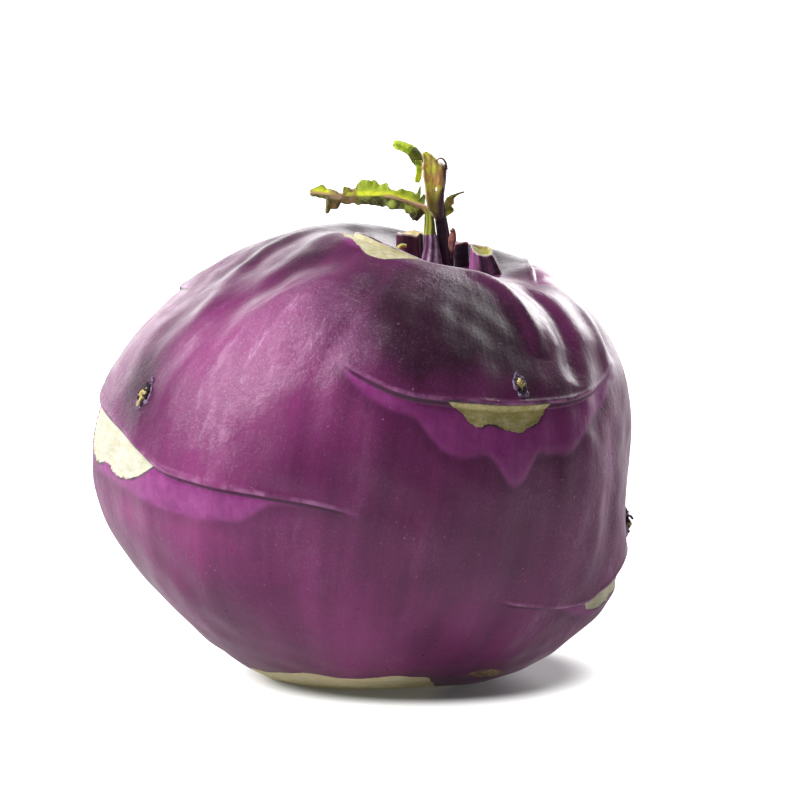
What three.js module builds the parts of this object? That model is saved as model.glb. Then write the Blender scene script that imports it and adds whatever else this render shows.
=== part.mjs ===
// A kohlrabi, trimmed for sale: the swollen stem with its ring of leaf scars, the dormant buds
// above the scars, the stubs of trimmed leaf stalks and the young leaves left in the crown.
// Millimetres, +Z up, front towards -Y. The kohlrabi rests on the flat cut heel under the stem.
// Angles on the stem are in degrees: azimuth from the front round to +X, polar from the crown down.

import * as THREE from 'three';
import { mergeVertices } from 'three/addons/utils/BufferGeometryUtils.js';

const { degToRad, clamp, lerp, smoothstep } = THREE.MathUtils;

// ---------------------------------------------------------------- driving dimensions

const STEM_CENTRE = new THREE.Vector3(6, 0, 36);
const SIDE_RADIUS = 44.3;     // centre to side, before the lopsided growth
const CROWN_RADIUS = 39.4;    // centre to crown, before the crown hollow
const HEEL_RADIUS = 36.2;     // centre to the underside
const SQUARENESS = 2.2;       // 2 is a plain ellipse, more is boxier
const LEAN = degToRad(9);     // the crown leans to the right
const LOPSIDED = 6.6;         // how much further the left side grew than the right
const CROWN_HOLLOW = { depth: 6, spread: 20, steepness: 4 };

// Broad swells (+) and flats (-) of the stem: width is the angle at which they fade.
const SWELLS = [
  { azimuth: -80, polar: 50, width: 26, height: -4.2 },
  { azimuth: -85, polar: 106, width: 16, height: 0.9 },
  { azimuth: -82, polar: 128, width: 18, height: -1.6 },
  { azimuth: -82, polar: 160, width: 22, height: 3.2 },
  { azimuth: -28, polar: 58, width: 20, height: 1.4 },
  { azimuth: 75, polar: 46, width: 20, height: 2.0 },
  { azimuth: 80, polar: 104, width: 15, height: 1.3 },
  { azimuth: 70, polar: 131, width: 22, height: 1.9 },
];

// Leaf scars stand all around the stem. The stem swells to a ledge above each scar line and
// drops below it; the line sags by `sag` degrees at its middle.
const LEAF_SCARS = [
  { azimuth: 80, polar: 110, halfWidth: 34, sag: 5, ledge: 1.0 },
  { azimuth: -60, polar: 89.5, halfWidth: 55, sag: 1.5, ledge: 1.0 },
  { azimuth: 165, polar: 83.5, halfWidth: 50, sag: 6, ledge: 1.0 },
  { azimuth: 23, polar: 64.5, halfWidth: 42, sag: 8, ledge: 1.3 },
  { azimuth: -130, polar: 66, halfWidth: 38, sag: 7, ledge: 1.0 },
  { azimuth: 112.5, polar: 40, halfWidth: 45, sag: 8, ledge: 1.0 },
  { azimuth: -32, polar: 27, halfWidth: 40, sag: 6, ledge: 0.8 },
  { azimuth: -142.5, polar: 122, halfWidth: 36, sag: 5, ledge: 0.8 },
];
const LEDGE_RISE = 11;        // length along the skin over which a ledge swells
const LEDGE_DROP = 2;         // length over which it drops below the scar line
const SKIN_RADIUS = 42;       // mean radius, turns an angle on the skin into a length

const GAP = 0.3;              // clearance between a separate piece and the stem
const STEM_SEGMENTS = { around: 72, down: 44 };
const STALK_SEGMENTS = { around: 12, along: 14 };
const STUB_STEPS = 5;
const BUD_SEGMENTS = { around: 14, down: 8 };

// ---------------------------------------------------------------- materials

function finish(color, roughness) {
  return new THREE.MeshStandardMaterial({ color, roughness, metalness: 0 });
}

const skinFinish = finish(0x6b3a62, 0.4);
const stalkFinish = finish(0x4a2440, 0.45);
const leafFinish = finish(0x9aa83a, 0.55);
const driedFinish = finish(0x8a5a4a, 0.6);
const cutFinish = finish(0xd8d28a, 0.7);
const budFinish = finish(0x3a2430, 0.6);

// ---------------------------------------------------------------- shape of the stem

// Unit direction on the leaning stem, from azimuth and polar angle in radians.
function stemDirection(azimuth, polar) {
  return new THREE.Vector3(
    Math.sin(polar) * Math.sin(azimuth),
    -Math.sin(polar) * Math.cos(azimuth),
    Math.cos(polar),
  );
}

function ledgeHeight(scar, azimuth, polar) {
  const away = azimuth - degToRad(scar.azimuth);
  const turn = THREE.MathUtils.euclideanModulo(away + Math.PI, 2 * Math.PI) - Math.PI;
  const across = turn / degToRad(scar.halfWidth);
  const line = degToRad(scar.polar) - degToRad(scar.sag) * across * across;
  const below = (polar - line) * SKIN_RADIUS;
  const fade = clamp(1 - across * across, 0, 1) ** 1.5;
  const reach = below < 0 ? LEDGE_RISE : LEDGE_DROP;
  return scar.ledge * fade * Math.exp(-((below / reach) ** 2));
}

// Distance from the stem's centre to its skin along a direction of the leaning stem.
function stemRadius(direction) {
  const polar = Math.acos(clamp(direction.z, -1, 1));
  const azimuth = Math.atan2(direction.x, -direction.y);
  const halfHeight = direction.z > 0 ? CROWN_RADIUS : HEEL_RADIUS;
  const side = Math.abs(Math.sin(polar)) / SIDE_RADIUS;
  const height = Math.abs(direction.z) / halfHeight;
  let radius = (side ** SQUARENESS + height ** SQUARENESS) ** (-1 / SQUARENESS);
  radius -= LOPSIDED * Math.sin(polar) ** 2 * Math.sin(azimuth);
  for (const swell of SWELLS) {
    const middle = stemDirection(degToRad(swell.azimuth), degToRad(swell.polar));
    const away = direction.angleTo(middle) / degToRad(swell.width);
    radius += swell.height * Math.exp(-(away ** 2));
  }
  for (const scar of LEAF_SCARS) {
    radius += ledgeHeight(scar, azimuth, polar);
  }
  const fromCrown = polar / degToRad(CROWN_HOLLOW.spread);
  return radius - CROWN_HOLLOW.depth * Math.exp(-(fromCrown ** CROWN_HOLLOW.steepness));
}

const UP = new THREE.Vector3(0, 0, 1);
const LEAN_AXIS = new THREE.Vector3(0, 1, 0);

// Point at `lift` above the skin, straight out from the stem's centre.
function skinPoint(direction, lift = 0) {
  const radius = stemRadius(direction) + lift;
  return direction.clone().multiplyScalar(radius).applyAxisAngle(LEAN_AXIS, LEAN).add(STEM_CENTRE);
}

// Moves a point in or out until it stands the usual gap above the skin.
function seated(point) {
  const direction = point.clone().sub(STEM_CENTRE).applyAxisAngle(LEAN_AXIS, -LEAN).normalize();
  return skinPoint(direction, GAP);
}

// ---------------------------------------------------------------- shaping helpers

// Turns a standard geometry so that its axis is +Z, closes its seams and moves every vertex.
function reshape(geometry, place) {
  geometry.deleteAttribute('normal');
  geometry.deleteAttribute('uv');
  geometry.rotateX(Math.PI / 2);
  const closed = mergeVertices(geometry);
  const position = closed.attributes.position;
  const vertex = new THREE.Vector3();
  for (let i = 0; i < position.count; i += 1) {
    vertex.fromBufferAttribute(position, i);
    const moved = place(vertex);
    position.setXYZ(i, moved.x, moved.y, moved.z);
  }
  closed.computeVertexNormals();
  return closed;
}

// Smooth value at 0..1 along a row of evenly spaced values.
function along(values, t) {
  const place = clamp(t, 0, 1) * (values.length - 1);
  const index = Math.min(Math.floor(place), values.length - 2);
  return lerp(values[index], values[index + 1], smoothstep(place - index, 0, 1));
}

function vectorOf(numbers) {
  return new THREE.Vector3(...numbers);
}

// A stalk or leaf swept along a spine from its foot on the crown. Its section is an ellipse of
// half sizes `width` and `thickness`; `across` is the direction of the width, foot and tip.
function sweptGeometry({ spine, width, thickness, across, steps }) {
  const curve = new THREE.CatmullRomCurve3(spine.map(vectorOf), false, 'centripetal');
  const [footAcross, tipAcross] = across.map(vectorOf);
  const unitCylinder = new THREE.CylinderGeometry(1, 1, 1, STALK_SEGMENTS.around, steps);
  return reshape(unitCylinder, (vertex) => {
    const t = vertex.z + 0.5;
    const tangent = curve.getTangentAt(t);
    const wide = footAcross.clone().lerp(tipAcross, t);
    wide.addScaledVector(tangent, -wide.dot(tangent)).normalize();
    const thick = tangent.clone().cross(wide);
    const point = curve.getPointAt(t);
    point.addScaledVector(wide, vertex.x * along(width, t));
    point.addScaledVector(thick, vertex.y * along(thickness, t));
    return t < 1e-6 ? seated(point) : point;
  });
}

// ---------------------------------------------------------------- pieces

function swollenStem() {
  const ball = new THREE.SphereGeometry(1, STEM_SEGMENTS.around, STEM_SEGMENTS.down);
  return reshape(ball, (vertex) => {
    const point = skinPoint(vertex.clone().normalize());
    point.z = Math.max(point.z, 0);
    return point;
  });
}

// Young leaves and the stubs of trimmed stalks, each from its foot in the crown hollow to its tip.
const LEAVES = [
  {
    name: 'leaf_upright',
    material: stalkFinish,
    spine: [[13.1, -0.6, 69.2], [12.8, -0.5, 74.1], [12.3, -0.3, 78], [12, -0.3, 80.8], [11.5, -0.4, 83.6],
      [11.2, -0.6, 86.2], [9.2, -0.8, 88.4], [6.6, -0.9, 89.8], [4.8, -0.9, 90.2]],
    width: [1.05, 1, 0.85, 1.1, 1.8, 1.9, 1.2, 0.8, 0.4],
    thickness: [1, 0.9, 0.7, 0.6, 0.5, 0.4, 0.35, 0.3, 0.2],
    across: [[1, 0, 0], [0.6, 0, 0.8]],
  },
  {
    name: 'leaf_left',
    material: leafFinish,
    spine: [[10.6, -1.6, 69.3], [10.5, -1.5, 74.2], [10.1, -1.4, 77.3], [8.8, -1.5, 80], [5.4, -1.7, 81.4],
      [1.4, -1.9, 81.6], [-3.5, -2, 81.6], [-8.8, -2, 82.1]],
    width: [0.95, 0.75, 0.7, 1.3, 2.6, 2.9, 2.1, 0.5],
    thickness: [0.95, 0.75, 0.6, 0.45, 0.35, 0.35, 0.3, 0.2],
    across: [[0.3, 0.9, 0], [0, 0.8, 0.6]],
  },
  {
    name: 'leaf_small_right',
    material: leafFinish,
    spine: [[14.7, 1.8, 69.2], [14.2, 1.6, 74.5], [13.9, 1.5, 78], [14.4, 1.4, 80.2], [16.3, 1.4, 82]],
    width: [0.6, 0.5, 0.9, 1, 0.25],
    thickness: [0.5, 0.4, 0.3, 0.25, 0.2],
    across: [[1, 0, 0], [0.6, 0, 0.8]],
  },
  {
    name: 'leaf_dried_tip',
    material: driedFinish,
    spine: [[14.9, -2.4, 69.2], [14.7, -2.3, 72.5], [14.8, -2.3, 74.6], [14.4, -2.3, 76]],
    width: [0.5, 0.6, 0.5, 0.2],
    thickness: [0.4, 0.35, 0.3, 0.15],
    across: [[1, 0, 0], [1, 0, 0]],
  },
  {
    name: 'leaf_tip_cut',
    material: cutFinish,
    spine: [[5, -0.6, 70.3], [5.2, -0.5, 71.8], [5.8, -0.4, 72.8], [6.8, -0.3, 73.2]],
    width: [0.6, 0.55, 0.5, 0.35],
    thickness: [0.5, 0.45, 0.4, 0.3],
    across: [[1, 0, 0], [0, 0, 1]],
  },
  {
    name: 'stalk_stub_right',
    material: stalkFinish,
    spine: [[19.6, -3.2, 68], [19.7, -3.2, 70.3], [19.7, -3.3, 72.4]],
    width: [2.9, 2.7, 2.4],
    thickness: [1.9, 1.7, 1.4],
    across: [[1, 0.2, 0], [1, 0.2, 0]],
  },
  {
    name: 'stalk_stub_back_left',
    material: stalkFinish,
    spine: [[7.2, 4.6, 69.2], [7.2, 4.7, 71.8], [7, 4.9, 74]],
    width: [2.4, 2.2, 2],
    thickness: [1.7, 1.5, 1.3],
    across: [[1, 0.1, 0], [1, 0.1, 0]],
  },
  {
    name: 'stalk_stub_back',
    material: stalkFinish,
    spine: [[15.6, 5.2, 68.5], [15.8, 5.2, 71], [16, 5.2, 73]],
    width: [2, 1.8, 1.6],
    thickness: [1.5, 1.4, 1.2],
    across: [[1, -0.2, 0], [1, -0.2, 0]],
  },
];

// Dormant buds, one above each leaf scar: half sizes are across, up the stem, and out of the skin.
const BUDS = [
  { name: 'bud_front', azimuth: 25, polar: 59.5, half: [1.7, 2.4, 1.2] },
  { name: 'bud_left', azimuth: -62, polar: 79.5, half: [1.7, 2.8, 1.2] },
  { name: 'bud_right', azimuth: 85, polar: 95, half: [1.7, 2.8, 1.7] },
  { name: 'bud_back', azimuth: 165, polar: 76, half: [1.7, 2.6, 1.2] },
  { name: 'bud_back_left', azimuth: -130, polar: 60, half: [1.6, 2.4, 1.1] },
  { name: 'bud_back_right', azimuth: 150, polar: 32, half: [1.4, 2, 1] },
  { name: 'bud_low_back', azimuth: -142, polar: 114, half: [1.6, 2.4, 1] },
];

// The underside of a bud follows the skin; its top is domed.
function budGeometry({ azimuth, polar, half }) {
  const outward = stemDirection(degToRad(azimuth), degToRad(polar)).applyAxisAngle(LEAN_AXIS, LEAN);
  const upward = UP.clone().addScaledVector(outward, -UP.dot(outward)).normalize();
  const sideways = upward.clone().cross(outward);
  const foot = skinPoint(stemDirection(degToRad(azimuth), degToRad(polar)), GAP);
  const ball = new THREE.SphereGeometry(1, BUD_SEGMENTS.around, BUD_SEGMENTS.down);
  return reshape(ball, (vertex) => {
    const point = foot.clone();
    point.addScaledVector(sideways, vertex.x * half[0]);
    point.addScaledVector(upward, vertex.y * half[1]);
    const skin = seated(point);
    return skin.addScaledVector(outward, Math.max(vertex.z, 0) * half[2]);
  });
}

// ---------------------------------------------------------------- assembly

const kohlrabi = new THREE.Group();

function addPiece(name, geometry, material) {
  const piece = new THREE.Mesh(geometry, material);
  piece.name = name;
  kohlrabi.add(piece);
}

addPiece('swollen_stem', swollenStem(), skinFinish);
for (const leaf of LEAVES) {
  const isStub = leaf.name.startsWith('stalk_stub');
  const steps = isStub ? STUB_STEPS : STALK_SEGMENTS.along;
  addPiece(leaf.name, sweptGeometry({ ...leaf, steps }), leaf.material);
}
for (const bud of BUDS) {
  addPiece(bud.name, budGeometry(bud), budFinish);
}

// The origin is the middle of the kohlrabi's footprint, on the plane that it rests on.
const box = new THREE.Box3().setFromObject(kohlrabi);
const middle = box.getCenter(new THREE.Vector3());
kohlrabi.position.set(-middle.x, -middle.y, -box.min.z);

export default kohlrabi;
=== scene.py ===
"""Looks for a purple kohlrabi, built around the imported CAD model.

Lengths are millimetres until a mesh is made, angles are degrees. The stem is described by azimuth
(0 is the front, +90 is +X) and polar angle (0 is the crown) about its own leaning axis.
"""
from math import radians

import bmesh
import bpy
import numpy as np
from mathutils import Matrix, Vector


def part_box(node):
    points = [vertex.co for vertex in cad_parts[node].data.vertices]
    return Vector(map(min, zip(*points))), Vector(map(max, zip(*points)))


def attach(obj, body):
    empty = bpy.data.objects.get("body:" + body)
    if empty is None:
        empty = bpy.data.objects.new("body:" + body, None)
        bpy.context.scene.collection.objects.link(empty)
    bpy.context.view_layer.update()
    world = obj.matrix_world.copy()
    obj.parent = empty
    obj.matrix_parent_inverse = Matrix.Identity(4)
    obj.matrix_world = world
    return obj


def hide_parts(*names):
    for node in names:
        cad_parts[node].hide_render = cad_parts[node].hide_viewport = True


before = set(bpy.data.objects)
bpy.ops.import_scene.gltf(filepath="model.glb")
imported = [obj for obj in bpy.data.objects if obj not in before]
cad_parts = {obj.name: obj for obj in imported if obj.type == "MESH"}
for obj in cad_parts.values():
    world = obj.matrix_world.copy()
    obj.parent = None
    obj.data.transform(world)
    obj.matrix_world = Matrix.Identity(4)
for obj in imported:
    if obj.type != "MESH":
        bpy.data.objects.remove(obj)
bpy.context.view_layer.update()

MM = 0.001

# ---------------------------------------------------------------- the stem's driving dimensions

STEM_CENTRE = np.array([6.0, 0.0, 36.0])
SIDE_RADIUS = 44.3
CROWN_RADIUS = 39.4
HEEL_RADIUS = 36.2
SQUARENESS = 2.2
LEAN = radians(9)
LOPSIDED = 6.6
HOLLOW_DEPTH = 6.0
HOLLOW_SPREAD = 20.0
SKIN_RADIUS = 42.0
DEGREE = SKIN_RADIUS * radians(1)      # length of one degree on the skin
ROOT_DEPTH = 0.5                       # how far a stalk or bud is rooted in the stem
PORE_SPACING = 1.5
STEM_COLUMNS = 560
STEM_ROWS = 350

# Broad swells (+) and flats (-): azimuth, polar, width in degrees, height.
SWELLS = [
    (-80, 50, 26, -4.2),
    (-85, 106, 16, 0.9),
    (-82, 128, 18, -1.6),
    (-82, 160, 22, 3.2),
    (-28, 58, 20, 1.4),
    (75, 46, 20, 2.0),
    (82, 111, 13, 2.4),
    (70, 131, 22, 1.9),
    (-60, 22, 13, 2.2),
    (52, 25, 8, -1.4),
]

# Narrow ridges (+) and furrows (-) of the skin: path of (azimuth, polar), half width, height.
FOLDS = [
    ([(-112, 30), (-84, 47), (-64, 61), (-60, 70)], 2.6, 0.8),
    ([(-36, 30), (-50, 42), (-56, 56), (-58, 70)], 3.6, -0.9),
    ([(-19, 29), (-20, 42), (-20, 52), (-19, 60)], 3.5, -0.7),
    ([(-45, 50), (-31, 57), (-22, 58)], 7.0, 0.7),
    ([(16, 25), (25, 28), (31, 32), (34, 38), (35, 44), (35, 52)], 1.8, 0.8),
    ([(42, 28), (47, 37), (48, 42), (47, 49), (43, 58)], 2.2, -1.0),
    ([(64, 28), (68, 38), (66, 45), (63, 57)], 1.9, 0.7),
    ([(72, 28), (72, 42), (70, 54)], 2.2, -0.7),
    ([(-44, 108), (-41, 99), (-35, 96), (-30, 99), (-28, 106)], 1.5, 0.2),
    ([(-48, 104), (-46, 118), (-44, 128)], 2.5, -0.2),
    ([(-33, 100), (-33, 112), (-33, 124)], 2.5, 0.2),
    ([(-22, 98), (-21, 110), (-20, 122)], 3.0, -0.2),
    ([(-68, 139), (-56, 142), (-47, 145)], 1.2, -0.4),
    ([(50, 68), (54, 82), (55, 96), (54, 106)], 2.4, 0.3),
    ([(60, 66), (63, 80), (64, 96), (62, 108)], 2.2, -0.35),
    ([(20, 112), (22, 124), (20, 134)], 4.0, 0.3),
]

# Leaf scars. line: the scar line, left to right. zone and face: how far below the line the fresh
# magenta skin and the pale cut face reach, as (azimuth, length). ledge: how far the skin above
# the line stands out. dryness: how brown the cut face has turned, 0 to 1.
SCAR_LEFT = {
    "line": [
        (-118, 78), (-100, 82), (-80, 86), (-66, 87.6), (-57, 89.4), (-50, 90.9), (-38, 91), (-27, 90.5),
        (-16, 90.2), (-8, 91)],
    "zone": [
        (-112, 0), (-104, 5), (-90, 8), (-78, 8.2), (-69, 7.7), (-61, 6.8), (-54, 5.7), (-41, 4.9),
        (-35, 4.4), (-30.5, 3.6), (-27, 1.6), (-18, 0.4), (-8, 0)],
    "face": [
        (-92, 0), (-86, 6), (-78, 7.2), (-73, 6.2), (-69, 6.6), (-66, 6.2), (-61, 4.9), (-57, 3),
        (-52.5, 0)],
    "ledge": 1.0,
    "dryness": 0.0}
SCAR_FRONT = {
    "line": [
        (-20, 61.6), (-16, 62.9), (-10, 64.6), (-3, 65.8), (6, 65.4), (21, 64.3), (33, 62.9), (41, 62),
        (51, 59.8), (60, 56.6), (68, 53)],
    "zone": [
        (-20, 0), (-15, 1.5), (-9, 2.3), (-4, 2.6), (0, 3.0), (3.4, 5.3), (7, 7.4), (11, 8.2), (17, 7.8),
        (20, 9.7), (22.5, 12), (25.4, 12.6), (27.5, 11.3), (29.3, 8.7), (34, 8), (41, 8.2), (45.5, 6.3),
        (52, 4.1), (59, 3.3), (68, 0)],
    "face": [
        (6, 0), (7.5, 0.5), (9.7, 1.2), (12.2, 2.9), (14.2, 3.4), (16.4, 2.8), (21, 3.6), (24.5, 4.2),
        (27.5, 3.5), (31, 2.3), (34, 0)],
    "ledge": 1.3,
    "dryness": 1.0}
SCAR_RIGHT = {
    "line": [
        (27, 109), (42, 110.5), (53, 111.2), (59, 110.6), (64.5, 108.6), (69, 106.4), (73, 104),
        (77, 102), (85, 100.5), (96, 100.5), (112, 102)],
    "zone": [(46, 0), (56, 2.0), (62, 4), (69, 7), (80, 9), (94, 8), (104, 4), (110, 0)],
    "face": [(60, 0), (63.5, 3.0), (69, 5.2), (76, 6.5), (85, 6.5), (94, 3), (99, 0)],
    "ledge": 1.0,
    "dryness": 0.3}
SCAR_CROWN = {
    "line": [(-100, 19), (-80, 20), (-60, 22), (-45, 23.5), (-32, 24), (-20, 23.5), (-6, 24)],
    "zone": [(-90, 0), (-60, 3), (-40, 4), (-20, 2), (-8, 0)],
    "face": [
        (-88, 0), (-76, 1.6), (-64, 2.2), (-56, 2.8), (-48, 2.6), (-40, 3.4), (-31, 4.7), (-24, 4.4),
        (-16, 2.2), (-10, 0)],
    "ledge": 0.6,
    "dryness": 0.6}
SCAR_SHOULDER = {
    "line": [(56, 30), (66, 27), (80, 24.5), (100, 24), (120, 27), (140, 32), (160, 37)],
    "zone": [(57, 0), (60, 1.2), (67, 4.4), (75, 6), (90, 6), (102, 5), (120, 6), (140, 5), (156, 0)],
    "face": [(116, 0), (124, 2.6), (134, 3.4), (144, 2.4), (150, 0)],
    "ledge": 0.5,
    "dryness": 0.5}


def plain_scar(azimuth, polar, half_width, ledge):
    """A scar out of the front view: the same features at even proportions."""
    def spread(points):
        return [(azimuth + half_width * share, length) for share, length in points]

    droop = 7
    return {
        "line": spread([(share, polar - droop * share * share) for share in (-1, -0.6, -0.2, 0.2, 0.6, 1)]),
        "zone": spread([
            (-0.9, 0), (-0.6, 4), (-0.3, 7), (-0.05, 9), (0.2, 7.5), (0.5, 6.5), (0.75, 3), (0.9, 0)]),
        "face": spread([(-0.4, 0), (-0.25, 2.4), (-0.05, 4), (0.15, 3), (0.4, 0)]),
        "ledge": ledge,
        "dryness": 0.6,
    }


SCARS = [
    SCAR_LEFT,
    SCAR_FRONT,
    SCAR_RIGHT,
    SCAR_CROWN,
    SCAR_SHOULDER,
    plain_scar(165, 83.5, 48, 1.0),
    plain_scar(-130, 66, 36, 1.0),
    plain_scar(-150, 120, 34, 0.8),
]

# Upper edge of the pale cut heel, as (azimuth, polar): it climbs high at the front.
HEEL_EDGE = [
    (-180, 158), (-110, 156), (-72, 150), (-27, 142.3), (-8, 139.2), (10, 138), (22, 141), (32, 149),
    (60, 154), (90, 154), (140, 157), (180, 158)]

# Dry brown flakes near the heel: azimuth, polar, half width and half height.
FLAKES = [
    (44, 137, 4.0, 2.3),
    (-150, 146, 3.0, 1.8),
]

# Crest of the hollow's front rim, where a painted highlight runs, as (azimuth, polar).
RIM_HIGHLIGHT_PATH = [
    (-72, 22), (-54, 23.4), (-42, 24.3), (-30, 24.6), (-18, 24.2), (-6, 23.3), (6, 23.6), (18, 23.8),
    (26, 25.5)]

# Patches of deeper (+) and paler (-) colour, partly the skin's own tone and partly painted shade and
# painted light: deeper round the hollow, beside the left bud and on the front lobe, paler on the lit left
# lobe. Azimuth, polar, width, amount.
TONES_AND_SHADE = [
    (8, 43, 21, 1.05),
    (-8, 50, 14, 0.7),
    (38, 60, 16, 0.4),
    (-66, 79, 9, 0.9),
    (-72, 64, 11, 0.6),
    (-56, 38, 13, 0.7),
    (-84, 46, 14, 0.4),
    (-53, 84, 10, 0.4),
    (-128, 28, 22, 0.8),
    (155, 26, 26, 1.0),
    (90, 24, 16, 0.5),
    (-30, 60, 16, -0.5),
    (-48, 62, 14, -0.35),
    (-45, 80, 16, -0.3),
    (-70, 50, 14, -0.1),
    (-50, 100, 16, -0.25),
    (20, 92, 20, 0.25),
    (4, 122, 24, -0.3),
    (60, 95, 25, 0.1),
    (165, 66, 24, 0.5),
    (-120, 45, 20, 0.4),
]

# Patches of waxy bloom, which also paint the crinkled highlight on the lit left lobe: azimuth, polar,
# width, amount.
BLOOMS_AND_SHEEN = [
    (-28, 56, 12, 0.95),
    (-42, 66, 10, 0.5),
    (-42, 80, 12, 0.35),
    (-85, 100, 24, 0.3),
    (62, 85, 20, 0.4),
    (60, 110, 24, 0.3),
    (140, 90, 40, 0.35),
    (-95, 60, 30, 0.2),
    (5, 30, 10, 0.3),
]

# Stubs of cut leaf stalks: name, shape, and colours of the wall (dark, pale, side) and the flesh.
STUBS = [
    ("stub_right",
     {"foot": (20.1, -3.4, 67.8), "top": (19.3, -3.4, 72.6), "half_width": 1.75, "half_depth": 1.4,
      "turn": 15, "tilt": 24, "slant": 12, "spread": 0.7, "ribs": 9, "seed": 50},
     [(52, 26, 48), (84, 46, 74), (160, 88, 144), (206, 204, 130), (170, 164, 80)]),
    ("stub_back_left",
     {"foot": (7.5, 4.6, 69), "top": (7.4, 4.7, 74.4), "half_width": 2.15, "half_depth": 1.5,
      "turn": -10, "tilt": 8, "slant": 2, "spread": 0.12, "ribs": 7, "seed": 60},
     [(44, 14, 32), (82, 26, 54), (116, 52, 88), (238, 230, 194), (214, 202, 136)]),
    ("stub_back",
     {"foot": (15.6, 5.2, 68.4), "top": (15.6, 5.3, 72.5), "half_width": 1.8, "half_depth": 1.3,
      "turn": 10, "tilt": -12, "slant": 6, "spread": 0.15, "ribs": 7, "seed": 70},
     [(46, 28, 48), (72, 50, 76), (104, 74, 108), (210, 204, 140), (168, 156, 92)]),
]

# Dormant buds: name, azimuth, polar, half width, half height, rise.
BUDS = [
    ("front", 25, 59.5, 1.15, 1.7, 0.9),
    ("left", -62, 79.5, 1.45, 2.2, 0.9),
    ("right", 85, 95, 1.1, 1.9, 1.2),
    ("back", 165, 76, 1.2, 1.9, 1.0),
    ("back_left", -130, 60, 1.1, 1.7, 0.9),
    ("back_right", 150, 32, 0.9, 1.4, 0.8),
    ("low_back", -142, 114, 1.1, 1.7, 0.8),
]

# Lamps: name, place, aim, size (metres) and power (watts).
LAMPS = [
    ("soft_left", (-0.33, -0.13, 0.40), (0, 0, 0.04), (0.26, 0.36), 3.6),
    ("back_left", (-0.35, 0.40, 0.20), (0, 0, 0.04), (0.30, 0.35), 0.2),
    ("back_right", (0.42, 0.56, 0.46), (0, 0, 0.05), (0.40, 0.35), 4.5),
]
ROOM_FILL = 0.09                       # light from the parts of the room that are not bright
FLOOR_HALF = 3.0                       # metres
# The floor glows for the camera outside this ellipse, which paints the shape of the contact shadow.
SHADOW_MIDDLE = (9, 1.5, 0)            # the ellipse of floor that the contact shadow falls in
SHADOW_HALF_SIZE = (30, 23)

CAMERA_TARGET = np.array([5.3, 0.0, 47.4])
CAMERA_RISE = radians(10)
CAMERA_DISTANCE = 700
CAMERA_LENS = 190.4

# ---------------------------------------------------------------- curves and random fields


def smooth(value, low, high):
    share = np.clip((value - low) / (high - low), 0, 1)
    return share * share * (3 - 2 * share)


def curve_through(x, points):
    """Value at x of the smooth curve through (x, y) points, flat beyond its ends."""
    xs, ys = np.array(points, float).T
    slopes = np.gradient(ys, xs)
    x = np.clip(x, xs[0], xs[-1])
    left = np.clip(np.searchsorted(xs, x, side="right") - 1, 0, len(xs) - 2)
    span = xs[left + 1] - xs[left]
    t = (x - xs[left]) / span
    rise = ys[left + 1] - ys[left]
    bend_left = slopes[left] * span - rise
    bend_right = rise - slopes[left + 1] * span
    return ys[left] + t * rise + t * (1 - t) * (bend_left * (1 - t) + bend_right * t)


def waves(points, wavelength, seed, count=14):
    """A smooth random field of about unit size: a sum of plane waves in random directions."""
    random = np.random.default_rng(seed)
    directions = random.normal(size=(count, 3))
    directions /= np.linalg.norm(directions, axis=1, keepdims=True)
    rates = 2 * np.pi / (wavelength * random.uniform(0.7, 1.4, count))
    phases = random.uniform(0, 2 * np.pi, count)
    total = np.zeros(points.shape[:-1])
    for direction, rate, phase in zip(directions, rates, phases):
        total += np.cos(points @ direction * rate + phase)
    return total / np.sqrt(count / 2)


def direction_of(azimuth, polar):
    a, p = np.radians(azimuth), np.radians(polar)
    return np.stack([np.sin(p) * np.sin(a), -np.sin(p) * np.cos(a), np.cos(p)], -1)


def distance_to_path(directions, path):
    """Distance on the skin to a path of (azimuth, polar), and how far along it, 0 to 1."""
    corners = direction_of(*np.array(path, float).T) * SKIN_RADIUS
    lengths = np.linalg.norm(np.diff(corners, axis=0), axis=1)
    reached = np.concatenate([[0], np.cumsum(lengths)]) / lengths.sum()
    points = directions * SKIN_RADIUS
    nearest = np.full(points.shape[:-1], np.inf)
    along = np.zeros(points.shape[:-1])
    for i, (start, end) in enumerate(zip(corners[:-1], corners[1:])):
        leg = end - start
        t = np.clip((points - start) @ leg / (leg @ leg), 0, 1)
        gap = np.linalg.norm(points - start - t[..., None] * leg, axis=-1)
        closer = gap < nearest
        nearest = np.where(closer, gap, nearest)
        along = np.where(closer, reached[i] + t * (reached[i + 1] - reached[i]), along)
    return nearest, along


# ---------------------------------------------------------------- shape of the stem


def scar_fields(scar, azimuth, polar):
    """Lengths below the scar line, inside the fresh skin and inside the cut face, and the fade
    to the ends."""
    first, last = scar["line"][0][0], scar["line"][-1][0]
    middle = (first + last) / 2
    turn = (azimuth - middle + 180) % 360 - 180 + middle
    across = (turn - middle) / ((last - first) / 2)
    below = (polar - curve_through(turn, scar["line"])) * DEGREE
    inside = {}
    for part in ("zone", "face"):
        start, end = scar[part][0][0], scar[part][-1][0]
        outside = np.maximum(np.maximum(start - turn, turn - end), 0) * DEGREE
        inside[part] = np.minimum(below, curve_through(turn, scar[part]) - below) - outside
    return below, inside["zone"], inside["face"], np.clip(1 - across ** 2, 0, 1)


# The ledge swells out over LEDGE_RISE above a scar line and drops away within LEDGE_DROP under it.
LEDGE_RISE = 11.0
LEDGE_DROP = 0.5
# Height, middle and half width of the lip above the line and of the crease under it.
LIP = (0.22, -0.5, 0.45)
CREASE = (-0.35, 0.4, 0.35)
SKIRT_HEIGHT = 0.16                    # fresh skin stands a little proud
FACE_DEPTH = 0.35                      # cut faces are a little sunk


def bell(value, height, middle, half_width):
    return height * np.exp(-((value - middle) / half_width) ** 2)


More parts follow.
